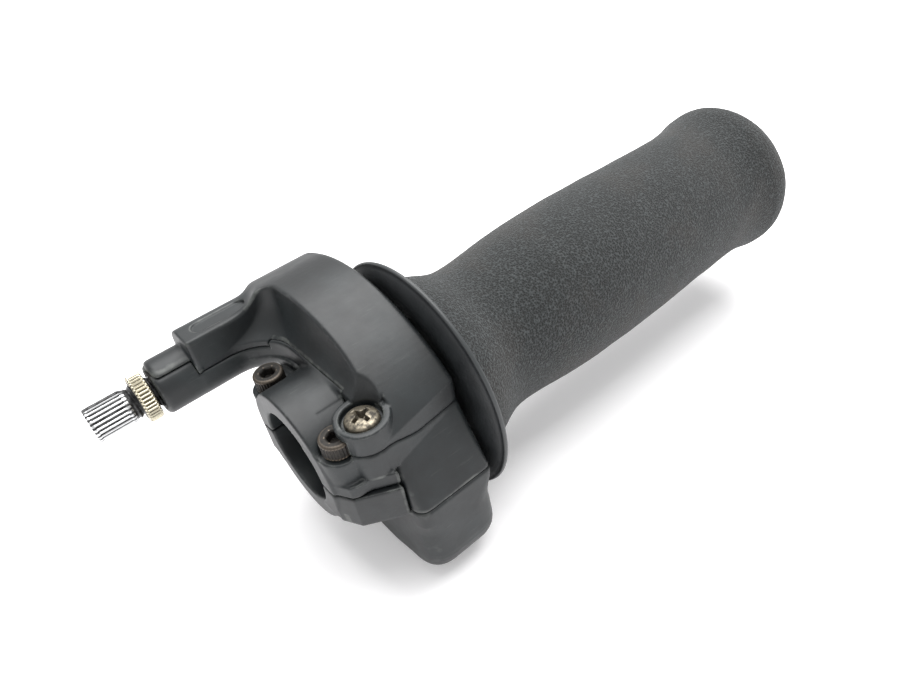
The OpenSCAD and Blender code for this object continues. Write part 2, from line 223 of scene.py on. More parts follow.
def clamp_upper(x, y, z):
    sx, sy = CLAMP_SCREW
    saddle = along_bar(x, y, z, SADDLE_R, 0, CASE_X0 + 1, edge=0.6)
    ears = upright(x, y, z, (sx, -sy), EAR_R, -1, SEAT_Z, 0.5)
    ears = weld(ears, upright(x, y, z, (sx, sy), EAR_R, -1, SEAT_Z, 0.5))
    # slabs that join the ears to the saddle and the case
    near = np.maximum(between(np.abs(y), 8, sy), between(x, sx - EAR_R, CASE_X0 + 1))
    far = np.maximum(between(y, 8, sy + EAR_R), between(x, sx, CASE_X0 + 1))
    ears = weld(ears, trim(np.where(y > 0, far, near), z - SEAT_Z, 0.5), 0.3)
    return np.maximum(weld(saddle, ears, 0.8), -z)


def clamp_lower(x, y, z):
    sx, sy = CLAMP_SCREW
    round_part = along_bar(x, y, z, 15.6, 0, CASE_X0 + 1, edge=0.6)
    block = trim(CLAMP_FRONT(x, y), between(z, CLAMP_Z0, 5), 1.6)
    far = upright(x, y, z, (sx, sy), EAR_R, CLAMP_Z0, 5, 0.7)
    far = weld(far, np.maximum(np.maximum(between(y, 9, 17.2), between(x, 0.3, CASE_X0 + 1)),
                               between(z, CLAMP_Z0, 5)), 0.5)
    return np.maximum(weld(round_part, weld(block, far), 0.8), z)


def drum_chamber(x, y, z):
    """Room inside the case's walls."""
    left = np.where(z < COVER_WALL_Z, WALL_X0, COVER_WALL_X)
    return np.maximum(CASE(y, z) + WALL, between(x, left, WALL_X1))


def tube_opening(x, y, z):
    """Hole in the right wall that the twist tube comes out of."""
    return np.maximum(np.hypot(y, z) - TUBE_R - TUBE_ROOM, WALL_X1 - 1 - x)


def drum_space(x, y, z):
    """Room of the drum, the tube and the bar."""
    room = np.minimum(drum_chamber(x, y, z), tube_opening(x, y, z))
    return np.minimum(room, np.maximum(np.hypot(y, z) - BAR_R, x - WALL_X0 - 1))


def cable_way(x, y, z):
    way = upright(x, y, z, ROLLER, 6.6, 8.4, 17, 0.3)
    way = weld(way, along_bar(x, y, z, 2, -8, 18, NOSE_Y, NOSE_Z))
    return weld(way, along_bar(x, y, z, BUSH_R, NOSE_X0 - 2, -5.8, NOSE_Y, NOSE_Z, edge=0.0))


def hexagon(u, v, half_width):
    """Six-sided hole, from places given by how far they are from its middle."""
    return np.maximum(u * 0.5 + v * 0.866, u) - half_width


def screw_holes(x, y, z, r, z0):
    sx, sy = CLAMP_SCREW
    return np.maximum(np.hypot(x - sx, np.abs(y) - sy) - r, z0 - z)


def whole_body(x, y, z):
    """Drum case and nose, before they are split into the casings."""
    return carve(weld(drum_case(x, y, z), nose(x, y, z), 2.6), elbow_space(x, y, z), 0.9)


def threaded_boss(x, y, z):
    return along_bar(x, y, z, 6.45, NOSE_X0, 8, NOSE_Y, NOSE_Z, edge=1.6)


def from_boss(x, y):
    """How far a place is outside the upright side of the cover screw's boss."""
    return np.hypot(x - BOSS[0], y - BOSS[1]) - BOSS_R


def cover_zone(x, y, z):
    """Where the cover is: above its seat, which steps up over the clamp and the nose."""
    step = np.minimum(np.minimum(np.maximum(x - COVER_STEP_X, -7.6 - y), 20.3 - y),
                      np.maximum(x - 5.7, -from_boss(x, y)))
    shoulder = np.where(y < 20.3, SHOULDER_Z, np.where(x < PAD_X0, SHELL_SEAM_Z, NOSE_SEAM_Z))
    # the seam climbs a little on the boss
    seat = COVER_Z + 2.4 * (1 - smooth(x, 11, 21)) * (1 - smooth(y, -10, -8))
    zone = np.maximum(seat - z, np.minimum(-step, shoulder - z))
    # the clamp keeps its round back
    zone = np.maximum(zone, -np.maximum(np.hypot(y, z) - SADDLE_R - 0.2, x - CASE_X0))
    # the seats of the clamp screws belong to the clamp
    seats = np.hypot(x - CLAMP_SCREW[0], np.abs(y) - CLAMP_SCREW[1]) - HEAD_POCKET_R
    return np.maximum(zone, -np.maximum(seats, z - SEAT_Z))


def lower_zone(x, y, z):
    lip = np.maximum(np.maximum(CASE_X0 - x, y - LIP_Y), LIP_Z - z)
    return np.maximum(z, -lip)


SEAM = 0.03         # half of the gap between two casings
SEAM_EDGE = 0.8     # rounding of the casings' edges at a seam


def lower_casing(x, y, z):
    shell = weld(drum_case(x, y, z), clamp_lower(x, y, z), 0.6)
    shell = trim(shell, lower_zone(x, y, z) + SEAM, SEAM_EDGE)
    shell = carve(shell, drum_space(x, y, z), 0.5)
    shell = carve(shell, screw_holes(x, y, z, CLAMP_HOLE_R, -40))
    # pockets of the clamp's nuts, 7.1 mm across their flats
    u, v = np.abs(x - CLAMP_SCREW[0]), np.abs(np.abs(y) - CLAMP_SCREW[1])
    return carve(shell, np.maximum(hexagon(u, v, 3.55), z + 6.2), 0.3)


def middle_casing(x, y, z):
    shell = weld(whole_body(x, y, z), threaded_boss(x, y, z), 0.5)
    shell = weld(shell, clamp_upper(x, y, z), 1.2)
    # the flange under the boss is set back behind the clamp's lower block
    flange = CLAMP_FRONT(x, y) + 1.1 * smooth(x, 3, 7)
    shell = weld(shell, trim(flange, between(z, -5, BOSS_Z0 + 0.3), 0.4), 0.2)
    shell = weld(shell, trim(from_boss(x, y), BOSS_Z0 - z, 0.9), 0.3)
    shell = trim(shell, -cover_zone(x, y, z) + SEAM, SEAM_EDGE)
    shell = trim(shell, -lower_zone(x, y, z) + SEAM, SEAM_EDGE)
    shell = carve(shell, drum_space(x, y, z), 0.5)
    shell = weld(shell, upright(x, y, z, ROLLER, 7.6, 4, 8.4))
    shell = carve(shell, np.maximum(np.hypot(y, z) - DRUM_R, between(x, WALL_X0, WALL_X1)))
    shell = carve(shell, cable_way(x, y, z), 0.3)
    shell = carve(shell, screw_holes(x, y, z, CLAMP_HOLE_R, -1))
    shell = carve(shell, screw_holes(x, y, z, HEAD_POCKET_R, SEAT_Z), 0.2)
    shell = carve(shell, upright(x, y, z, BOSS, 2.62, 0.7, 20))
    return carve(shell, upright(x, y, z, ROLLER, 1.5, 4.9, 20))


def cable_cover(x, y, z):
    half_shell = trim(np.hypot(y - NOSE_Y, z - NOSE_Z) - 6.95, NOSE_X0 + 0.4 - x, 1.6)
    half_shell = np.maximum(half_shell, x - PAD_X0 - 1)
    shell = weld(whole_body(x, y, z), half_shell, 0.5)
    shell = weld(shell, trim(from_boss(x, y), z - BOSS_Z1, 0.6), 0.3)
    shell = trim(shell, cover_zone(x, y, z) + SEAM, SEAM_EDGE)
    # room of the front clamp screw's head, closed above
    head = np.hypot(x - CLAMP_SCREW[0], y + CLAMP_SCREW[1]) - HEAD_POCKET_R
    shell = carve(shell, np.maximum(head, z - SEAT_Z - 4.1), 0.2)
    # the screw's round seat opens upwards as a scoop
    above = np.maximum(z - BOSS_Z1, 0)
    seat = np.hypot(x - BOSS[0] - 0.25 * above, y - BOSS[1] - 0.15 * above) - RECESS_R - 0.1 * above
    seat = np.maximum(seat, BOSS_SEAT_Z - z)
    away = np.maximum(np.maximum(x - 16.4, y - BOSS[1]), BOSS_Z1 - z)
    shell = carve(shell, weld(seat, away, 0.3), 0.4)
    shell = carve(shell, upright(x, y, z, BOSS, COVER_HOLE_R, 0, 20))
    shell = carve(shell, drum_chamber(x, y, z))
    shell = carve(shell, tube_opening(x, y, z), 0.5)
    shell = carve(shell, cable_way(x, y, z))
    # oval panel sunk in the flat top of the nose, bare
    u = np.maximum(np.abs(x - PANEL[0]) - 4.7, 0)
    panel = np.hypot(u, y - PANEL[1]) - 2.0
    return carve(shell, np.maximum(panel, PAD_Z - 0.45 - z), 0.25)


# ---------------------------------------------------------------- small turned pieces


def teeth(angle, count):
    """Straight knurl round a turned piece: 0 on a crest, 1 in a groove."""
    return 0.5 - 0.5 * np.cos(angle * count)


def spiral(x, angle, pitch=1.25):
    """Metric thread: 0 on its crest, 1 in its root."""
    return np.abs(((x / pitch - angle / (2 * math.pi)) % 1) * 2 - 1)


ADJUSTER_X0, BARREL_X1 = -31.0, -21.5
BARREL_R = 4.15
KNURL_TEETH = 24
NUT_X, NUT_R = -18.5, 5.95      # middle of the lock nut's width, and its radius


def round_nose(y, z):
    """Distance from the nose's axis, and the angle round it."""
    return np.hypot(y - NOSE_Y, z - NOSE_Z), np.arctan2(z - NOSE_Z, y - NOSE_Y)


def adjuster(x, y, z):
    r, a = round_nose(y, z)
    # knurled barrel, bevelled and plain at both ends
    knurl = 0.45 * teeth(a, KNURL_TEETH) * smooth(x, -30.4, -29.9) * (1 - smooth(x, -23.2, -22.7))
    barrel = trim(r - BARREL_R + knurl, between(x, ADJUSTER_X0, BARREL_X1), 0.5)
    barrel = trim(barrel, (r - BARREL_R + 0.55 + (x - BARREL_X1) * 0.5) * 0.85, 0.2)
    shank = np.maximum(r - 4.0 + 0.62 * spiral(x, a), between(x, -21.6, -7.5)) * 0.8
    neck = np.maximum(r - 3.3, between(x, -22.5, -20.8))
    piece = weld(weld(barrel, shank), neck)
    piece = carve(piece, np.maximum(r - 2.75, x + 14), 0.3)
    return carve(piece, r - 1.2)


def jam_nut(x, y, z):
    r, a = round_nose(y, z)
    off = np.abs(x - NUT_X)
    middle = 1 - smooth(off, 1.2, 1.5)
    disc = trim(r - NUT_R + 0.4 * teeth(a, 40) * middle, off - 1.65, 0.3)
    bevel = (r - 5.5 + (off - 1.65) * 0.9) * 0.75
    disc = trim(disc, bevel, 0.15)
    return carve(disc, (r - 4.08 - np.maximum(off - 1.2, 0)) * 0.8, 0.1)


def socket_screw(x, y, z):
    """Hexagon socket screw, its head's underside at z = 0."""
    r, a = np.hypot(x, y), np.arctan2(y, x)
    knurl = 0.16 * teeth(a, 32) * (1 - smooth(z, 3.1, 3.5)) * smooth(z, 0.3, 0.6)
    head = trim(r - 3.53 + knurl, between(z, 0, 4), 0.7)
    thread = 0.35 * spiral(z, a, 0.7) * (z < -4)
    screw = weld(head, np.maximum(r - 2.0 + thread, between(z, -18.4, 0.3)), 0.3)
    screw = carve(screw, np.maximum(hexagon(np.abs(x), np.abs(y), 1.52), 1.8 - z), 0.12)
    return carve(screw, (r - 1.75 - (z - 3.8)) * 0.7, 0.1)


def cross_screw(x, y, z):
    """Pan head screw with a cross recess, its head's underside at z = 0."""
    r = np.hypot(x, y)
    dome = np.sqrt(r ** 2 + (z + 5.5) ** 2) - 7.6
    head = trim(trim(r - 3.8, dome, 0.7), -z, 0.2)
    screw = weld(head, np.maximum(r - 2.0, between(z, -12.8, 0.3)))
    turn = math.radians(12)
    u = np.abs(x * math.cos(turn) + y * math.sin(turn))
    v = np.abs(y * math.cos(turn) - x * math.sin(turn))
    # the wings of the cross taper inwards and downwards
    depth = 2.1 - z
    arm = np.maximum(np.minimum(u, v) - 0.5 + 0.1 * depth, np.maximum(u, v) - 2.6 + 0.8 * depth)
    core = r - 1.0 + 0.3 * depth
    return carve(screw, np.maximum(weld(arm, core, 0.3), 0.3 - z), 0.15)


def offset_solid(solid, centre):
    return lambda x, y, z: solid(x - centre[0], y - centre[1], z - centre[2])


# ---------------------------------------------------------------- from solids to meshes


def skin(solid, low, high, step):
    """Points and four-sided faces of a solid's skin."""
    axes = [np.arange(a, b + step, step) for a, b in zip(low, high)]
    x, y, z = axes[0][:, None, None], axes[1][None, :, None], axes[2][None, None, :]
    value = np.broadcast_to(solid(x, y, z), [len(a) for a in axes]).astype(np.float32)
    inside = value < 0
    n = [len(a) - 1 for a in axes]
    corners = [(i, j, k) for i in (0, 1) for j in (0, 1) for k in (0, 1)]
    count = sum(inside[i:i + n[0], j:j + n[1], k:k + n[2]].astype(np.uint8) for i, j, k in corners)
    cell = np.argwhere((count > 0) & (count < 8))
    total, crossed = np.zeros((len(cell), 3)), np.zeros(len(cell))
    for a in corners:
        for axis in range(3):
            if a[axis]:
                continue
            b = np.array(a)
            b[axis] = 1
            fa = value[tuple((cell + a).T)].astype(float)
            fb = value[tuple((cell + b).T)].astype(float)
            hit = (fa < 0) != (fb < 0)
            t = np.where(hit, fa / np.where(hit, fa - fb, 1), 0)
            total += np.where(hit[:, None], np.array(a) + t[:, None] * (b - np.array(a)), 0)
            crossed += hit
    points = np.array(low) + (cell + total / crossed[:, None]) * step
    number = np.full(n, -1, np.int64)
    number[tuple(cell.T)] = np.arange(len(cell))
    faces = []
    for axis in range(3):
        u, v = (axis + 1) % 3, (axis + 2) % 3
        here = [slice(1, -1)] * 3
        here[axis] = slice(0, -1)
        there = list(here)
        there[axis] = slice(1, None)
        first, second = inside[tuple(here)], inside[tuple(there)]
        at = np.argwhere(first != second)
        low_inside = first[tuple(at.T)]
        at[:, u] += 1
        at[:, v] += 1
        quad = []
        for du, dv in ((-1, -1), (0, -1), (0, 0), (-1, 0)):
            c = at.copy()
            c[:, u] += du
            c[:, v] += dv
            quad.append(number[tuple(c.T)])
        quad = np.stack(quad, 1)
        faces.append(np.where(low_inside[:, None], quad, quad[:, ::-1]))
    for _ in range(2):
        f, g = solid(*points.T), slope(solid, points)
        points -= np.clip(f / np.maximum((g ** 2).sum(1), 0.2), -step / 2, step / 2)[:, None] * g
    return points, np.vstack(faces)


def slope(solid, points, d=0.04):
    x, y, z = points.T
    return np.stack([solid(x + d, y, z) - solid(x - d, y, z),
                     solid(x, y + d, z) - solid(x, y - d, z),
                     solid(x, y, z + d) - solid(x, y, z - d)], 1) / (2 * d)


def edge_wear(solid, points, depth=0.6):
    """How far a place stands out as an edge, 0 on a flat and towards 1 on a sharp edge."""
    g = slope(solid, points, 0.15)
    g /= np.maximum(np.linalg.norm(g, axis=1), 1e-6)[:, None]
    inner = solid(*(points - g * depth).T) - solid(*points.T)
    return np.clip((inner + depth) / depth / 0.45, 0, 1)


def piece(name, points, faces, material, rides, slot, stands_for, marks=None):
    """A mesh in the part's place, riding on a body and standing for its nodes."""
    mesh = bpy.data.meshes.new(name)
    faces = np.asarray(faces)
    mesh.vertices.add(len(points))
    mesh.vertices.foreach_set("co", (np.asarray(points) * MM).astype(np.float32).ravel())
    mesh.loops.add(faces.size)
    mesh.loops.foreach_set("vertex_index", faces.astype(np.int32).ravel())
    mesh.polygons.add(len(faces))
    mesh.polygons.foreach_set("loop_start", np.arange(0, faces.size, faces.shape[1], dtype=np.int32))
    mesh.polygons.foreach_set("loop_total", np.full(len(faces), faces.shape[1], np.int32))
    mesh.update(calc_edges=True)
    mesh.validate()
    mesh.polygons.foreach_set("use_smooth", np.ones(len(mesh.polygons), bool))
    for mark, values in (marks or {}).items():
        mesh.attributes.new(mark, "FLOAT", "POINT").data.foreach_set(
            "value", np.asarray(values, np.float32))
    mesh.materials.append(material)
    made = bpy.data.objects.new(name, mesh)
    bpy.context.scene.collection.objects.link(made)
    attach(made, rides)
    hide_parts(*stands_for)
    return made


def moulded(name, solid, low, high, step, material, rides, slot, stands_for, wear=None):
    # a given wear function sets the marks instead: for the knurled adjuster, worn crests with a painted dark
    # reflection
    points, faces = skin(solid, low, high, step)
    return piece(name, points, faces, material, rides, slot, stands_for,
                 {"edge_wear": wear(points) if wear else edge_wear(solid, points)})


def turned(profile, around):
    """Points and faces of a piece turned on the bar axis from a closed outline of (x, radius)."""
    profile = np.asarray(profile, float)
    a = np.linspace(0, 2 * math.pi, around, endpoint=False)
    x = np.repeat(profile[:, 0], around)
    r = np.repeat(profile[:, 1], around)
    a = np.tile(a, len(profile))
    points = np.c_[x, r * np.cos(a), r * np.sin(a)]
    i = np.arange(len(profile))[:, None] * around
    j = np.arange(around)[None, :]
    k, rows = (j + 1) % around, len(profile) * around
    quads = np.stack([i + j, i + k, (i + around + k) % rows, (i + around + j) % rows], -1)
    return points, quads.reshape(-1, 4)


# ---------------------------------------------------------------- materials


def paint(code):
    """An sRGB hex colour as linear RGBA."""
    parts = [int(code[i:i + 2], 16) / 255 for i in (1, 3, 5)]
    return [c / 12.92 if c <= 0.04045 else ((c + 0.055) / 1.055) ** 2.4 for c in parts] + [1.0]


def add(tree, kind, inputs=None, **settings):
    """Adds a node. Its inputs are values or the sockets they come from."""
    made = tree.nodes.new("ShaderNode" + kind)
    for key, value in settings.items():
        setattr(made, key, value)
    for key, value in (inputs or {}).items():
        if isinstance(value, bpy.types.NodeSocket):
            tree.links.new(value, made.inputs[key])
        else:
            made.inputs[key].default_value = value
    return made


def ramp(node, *stops):
    """Sets the stops of a colour ramp: (place, hex colour or grey)."""
    elements = node.color_ramp.elements
    while len(elements) < len(stops):
        elements.new(0.5)
    for element, (place, colour) in zip(elements, stops):
        element.position = place
        element.color = paint(colour) if isinstance(colour, str) else [colour] * 3 + [1]
    return node.outputs["Color"]


def new_material(name):
    material = bpy.data.materials.new(name)
    material.use_nodes = True
    tree = material.node_tree
    shader = tree.nodes["Principled BSDF"]
    place = add(tree, "TexCoord").outputs["Object"]
    # millimetres, so that a pattern's scale is one over its size
    mm = add(tree, "VectorMath", {0: place, 1: (1000, 1000, 1000)}, operation="MULTIPLY").outputs[0]
    return material, tree, shader, mm


def moulded_nylon():
    """Glass-filled nylon, injection moulded and handled for years: satin black with a grey
    bloom in cloudy patches, fine scuffs, and edges rubbed lighter."""
    material, tree, shader, mm = new_material("moulded_glass_filled_nylon")
    cloud = add(tree, "TexNoise", {"Vector": mm, "Scale": 1 / 14, "Detail": 4.0, "Roughness": 0.6})
    bloom = ramp(add(tree, "ValToRGB", {0: cloud.outputs[0]}), (0.4, "#0d1113"), (0.7, "#1a2022"))
    # scuffs: short light lines, 0.4 mm wide and some 6 mm long
    stretch = add(tree, "Mapping", {"Vector": mm, "Rotation": (0.5, 0.7, 0.4),
                                    "Scale": (0.16, 2.6, 2.6)})
    scuff = add(tree, "TexNoise", {"Vector": stretch.outputs[0], "Scale": 1.0, "Detail": 3.0})
    scuffed = ramp(add(tree, "ValToRGB", {0: scuff.outputs[0]}), (0.62, 0.0), (0.72, 1.0))
    patch = add(tree, "TexNoise", {"Vector": mm, "Scale": 1 / 7, "Detail": 3.0})
    patchy = ramp(add(tree, "ValToRGB", {0: patch.outputs[0]}), (0.48, 0.0), (0.62, 1.0))
    scuffed = add(tree, "Math", {0: scuffed, 1: patchy}, operation="MULTIPLY").outputs[0]
    dull = add(tree, "Math", {0: scuffed, 1: 0.07}, operation="MULTIPLY").outputs[0]
    colour = add(tree, "MixRGB", {"Fac": dull, "Color1": bloom, "Color2": paint("#85877f")})
    # worn edges, broken up along their length
    wear = add(tree, "Attribute", attribute_name="edge_wear")
    broken = add(tree, "TexNoise", {"Vector": mm, "Scale": 1 / 2.2, "Detail": 5.0})
    worn = add(tree, "Math", {0: wear.outputs["Fac"], 1: broken.outputs[0]}, operation="MULTIPLY")
    worn = ramp(add(tree, "ValToRGB", {0: worn.outputs[0]}), (0.34, 0.0), (0.7, 0.5))
    colour = add(tree, "MixRGB", {"Fac": worn, "Color1": colour.outputs[0], "Color2": paint("#6f726e")})
    tree.links.new(colour.outputs[0], shader.inputs["Base Color"])
    gloss = add(tree, "TexNoise", {"Vector": mm, "Scale": 1 / 5, "Detail": 6.0, "Roughness": 0.65})
    rough = add(tree, "MapRange", {"Value": gloss.outputs[0], "To Min": 0.38, "To Max": 0.58})
    tree.links.new(rough.outputs[0], shader.inputs["Roughness"])
    # moulded grain, 0.35 mm
    grain = add(tree, "TexNoise", {"Vector": mm, "Scale": 1 / 0.35, "Detail": 3.0})
    fine = add(tree, "Bump", {"Height": grain.outputs[0], "Strength": 0.12, "Distance": 0.00006})
    soft = add(tree, "Bump", {"Height": cloud.outputs[0], "Strength": 0.25, "Distance": 0.0006,
                              "Normal": fine.outputs[0]})
    tree.links.new(soft.outputs[0], shader.inputs["Normal"])
    shader.inputs["IOR"].default_value = 1.53
    return material


def foam_rubber():
    """Closed-cell foam rubber, ground to shape: its cut cells give a fine matt grain with
    specks, and skin dust leaves it faintly brown in patches."""
    material, tree, shader, mm = new_material("ground_closed_cell_foam")
    # cut cells, drawn 0.5 mm wide so that they show
    cells = add(tree, "TexVoronoi", {"Vector": mm, "Scale": 1 / 0.5}, feature="F1")
    grain = add(tree, "TexNoise", {"Vector": mm, "Scale": 1 / 0.3, "Detail": 4.0, "Roughness": 0.7})
    both = add(tree, "Math", {0: cells.outputs["Distance"], 1: grain.outputs[0]}, operation="MULTIPLY")
    speck = ramp(add(tree, "ValToRGB", {0: both.outputs[0]}),
                 (0.08, "#0d0e0e"), (0.24, "#1d2020"), (0.46, "#3c4041"))
    patch = add(tree, "TexNoise", {"Vector": mm, "Scale": 1 / 16, "Detail": 4.0, "Roughness": 0.6})
    dusty = ramp(add(tree, "ValToRGB", {0: patch.outputs[0]}), (0.5, 0.0), (0.75, 0.35))
    colour = add(tree, "MixRGB", {"Fac": dusty, "Color1": speck, "Color2": paint("#3a342f")})
    tree.links.new(colour.outputs[0], shader.inputs["Base Color"])
    shader.inputs["Roughness"].default_value = 0.9
    shader.inputs["Sheen Weight"].default_value = 0.12
    shader.inputs["Sheen Roughness"].default_value = 0.5
    bump = add(tree, "Bump", {"Height": both.outputs[0], "Strength": 0.8, "Distance": 0.0005})
    tree.links.new(bump.outputs[0], shader.inputs["Normal"])
    return material


def worn_metal(name, metal, dirt, low, high, stain_mm, edge=None):
    """Small steel and plated pieces: the metal shows where it is rubbed, with roughness low,
    and dirt or the dark finish stays in patches, with roughness high."""
    material, tree, shader, mm = new_material(name)
    stain = add(tree, "TexNoise", {"Vector": mm, "Scale": 1 / stain_mm, "Detail": 5.0, "Roughness": 0.65})
    spots = ramp(add(tree, "ValToRGB", {0: stain.outputs[0]}), (0.38, 0.0), (0.62, 1.0))
    if edge:
        wear = add(tree, "Attribute", attribute_name="edge_wear")
        worn = ramp(add(tree, "ValToRGB", {0: wear.outputs["Fac"]}), (edge[0], 0.0), (edge[1], 1.0))
        part = add(tree, "Math", {0: spots, 1: 0.12}, operation="MULTIPLY")
        both = add(tree, "Math", {0: part.outputs[0], 1: worn}, operation="ADD", use_clamp=True)
        spots = both.outputs[0]
    colour = add(tree, "MixRGB", {"Fac": spots, "Color1": paint(dirt), "Color2": paint(metal)})
    tree.links.new(colour.outputs[0], shader.inputs["Base Color"])
    rough = add(tree, "MapRange", {"Value": spots, "To Min": high, "To Max": low})
    tree.links.new(rough.outputs[0], shader.inputs["Roughness"])
    shine = add(tree, "MapRange", {"Value": spots, "To Min": 0.4, "To Max": 1.0})
    tree.links.new(shine.outputs[0], shader.inputs["Metallic"])
    bump = add(tree, "Bump", {"Height": stain.outputs[0], "Strength": 0.3, "Distance": 0.00008})
    tree.links.new(bump.outputs[0], shader.inputs["Normal"])
    return material


def plain_moulding(name, colour, lighter, rough, grain_mm, rubbed=None):
    """Small unpainted mouldings, washers and felt: one colour with a faint cloud and grain,
    and a rubbed edge where one is asked for."""
    material, tree, shader, mm = new_material(name)
    cloud = add(tree, "TexNoise", {"Vector": mm, "Scale": 1 / 6, "Detail": 4.0})
    tone = ramp(add(tree, "ValToRGB", {0: cloud.outputs[0]}), (0.35, colour), (0.7, lighter))
    if rubbed:
        wear = add(tree, "Attribute", attribute_name="edge_wear").outputs["Fac"]
        tone = add(tree, "MixRGB", {"Fac": wear, "Color1": tone, "Color2": paint(rubbed)}).outputs[0]
    tree.links.new(tone, shader.inputs["Base Color"])
    spread = add(tree, "MapRange", {"Value": cloud.outputs[0],
                                    "To Min": rough - 0.08, "To Max": rough + 0.08})
    tree.links.new(spread.outputs[0], shader.inputs["Roughness"])
    grain = add(tree, "TexNoise", {"Vector": mm, "Scale": 1 / grain_mm, "Detail": 3.0})
    bump = add(tree, "Bump", {"Height": grain.outputs[0], "Strength": 0.2, "Distance": 0.0001})
    tree.links.new(bump.outputs[0], shader.inputs["Normal"])
    return material


NYLON = moulded_nylon()
FOAM = foam_rubber()
BLACKENED_STEEL = worn_metal("blackened_steel", "#6b6258", "#191715", 0.38, 0.6, 0.9, edge=(0.45, 0.95))
NICKEL = worn_metal("nickel_plated_steel", "#8a8273", "#332f28", 0.36, 0.6, 1.2)
PLATED_NUT = worn_metal("bright_plated_steel", "#d6cfb9", "#4a4332", 0.26, 0.5, 0.9, edge=(0.25, 0.7))
# the adjuster's crests show bare metal, but towards its top the dark finish is kept as a painted dark
# reflection
ANODISED = worn_metal("black_anodised_aluminium", "#e2e3e4", "#0b0b0c", 0.3, 0.35, 1.6, edge=(0.3, 0.8))
ZINC_STEEL = worn_metal("zinc_plated_steel", "#b9bdbf", "#7b7d7c", 0.35, 0.5, 1.5)
BRASS = worn_metal("turned_brass", "#b8924c", "#6a5530", 0.3, 0.5, 1.5)
DISC_PLASTIC = plain_moulding("moulded_polypropylene_disc", "#17191b", "#212426", 0.42, 0.5, rubbed="#3c3f40")
TUBE_PLASTIC = plain_moulding("moulded_nylon_tube", "#17181a", "#222426", 0.45, 0.5)
NATURAL_NYLON = plain_moulding("natural_nylon", "#cfc9b8", "#ddd8c9", 0.45, 0.6)
FELT = plain_moulding("pressed_wool_felt", "#3d3b37", "#56524b", 0.95, 0.3)

# ---------------------------------------------------------------- the pieces

CASING_STEP = 0.34   # mesh size of the casings
SMALL_STEP = 0.11    # and of the screws, nut and adjuster

moulded("lower_casing", lower_casing, (-1, -29.6, -34.6), (32.6, 38.2, 1.2), CASING_STEP,
        NYLON, "housing", "case_plastic", ["lower_housing"])
moulded("middle_casing", middle_casing, (-17, -29.6, -9.2), (32.6, 38.2, 17.4), CASING_STEP,
        NYLON, "housing", "case_plastic", ["middle_housing"])
moulded("cable_cover_casing", cable_cover, (-17, -22.8, 6.4), (32.6, 38.2, 29.4), CASING_STEP,
        NYLON, "housing", "case_plastic", ["cable_cover"])

for side, label in ((-1, "front"), (1, "far")):
    centre = (CLAMP_SCREW[0], side * CLAMP_SCREW[1], SEAT_Z)
    solid = offset_solid(socket_screw, centre)
    low = [c - s for c, s in zip(centre, (4, 4, 18.8))]
    high = [c + s for c, s in zip(centre, (4, 4, 4.4))]
    moulded("socket_screw_" + label, solid, low, high, SMALL_STEP,
            BLACKENED_STEEL, "housing", "dark_steel", ["clamp_screws"] if side < 0 else [])

centre = (BOSS[0], BOSS[1], BOSS_SEAT_Z)
moulded("cross_recess_screw", offset_solid(cross_screw, centre),
        [c - s for c, s in zip(centre, (4.3, 4.3, 13.2))], [c + s for c, s in zip(centre, (4.3, 4.3, 2.8))],
        SMALL_STEP, NICKEL, "housing", "nickel_steel", ["cover_screw"])


def knurl_wear_and_painted_reflection(points):
    """The finish is rubbed off the knurl's crests, but on the side away from the bar and towards the top the
    crests are kept dark: a painted dark reflection.
    """
    x, y, z = points.T
    r, a = round_nose(y, z)
    # crests away from the bar and towards the top stay dark: painted dark reflection
    outside_painted_reflection = smooth(np.cos(a - math.radians(200)), -0.45, -0.2)
    return (1 - smooth(teeth(a, KNURL_TEETH), 0.3, 0.75)) * outside_painted_reflection * smooth(r, 3.6, 3.8) * (x < -22)


# the adjuster's crest marks: worn anodising, with a painted dark reflection on its top
moulded("knurled_adjuster", adjuster, (-31.5, NOSE_Y - 4.7, NOSE_Z - 4.7), (-7, NOSE_Y + 4.7, NOSE_Z + 4.7),
        SMALL_STEP, ANODISED, "adjuster", "black_anodised", ["cable_adjuster"], knurl_wear_and_painted_reflection)
moulded("knurled_jam_nut", jam_nut, (-20.7, NOSE_Y - 6.4, NOSE_Z - 6.4), (-16.4, NOSE_Y + 6.4, NOSE_Z + 6.4),
        SMALL_STEP, PLATED_NUT, "nut", "plated_nut", ["lock_nut"])


def guard_disc():
    """Dished guard disc with a thin rolled rim, as an outline of (x, radius)."""
    back = [(-1.2, TUBE_R + 0.05), (-1.3, 18), (-1.7, 20), (-2.0, 23), (-2.0, 25), (-1.6, 27), (-0.9, 28.8)]
    rim = arc((-0.1, FLANGE_R - 0.55), 0.55, 200, -20, 12)
    front = [(0.3, 29.2), (0.0, 28.4), (-0.4, 27), (-0.7, 25), (-0.6, 23), (0.1, 21), (0.9, 19.3),
             (1.2, 18), (1.2, TUBE_R + 0.05)]
    return np.vstack([back, rim, front]) + [FLANGE_X, 0]


points, faces = turned(guard_disc(), 240)
rim_wear = 0.7 * smooth(np.hypot(points[:, 1], points[:, 2]), FLANGE_R - 0.5, FLANGE_R - 0.1)
piece("guard_disc", points, faces, DISC_PLASTIC, "twist_grip", "disc_plastic", ["flange_disc"],
      {"edge_wear": rim_wear})


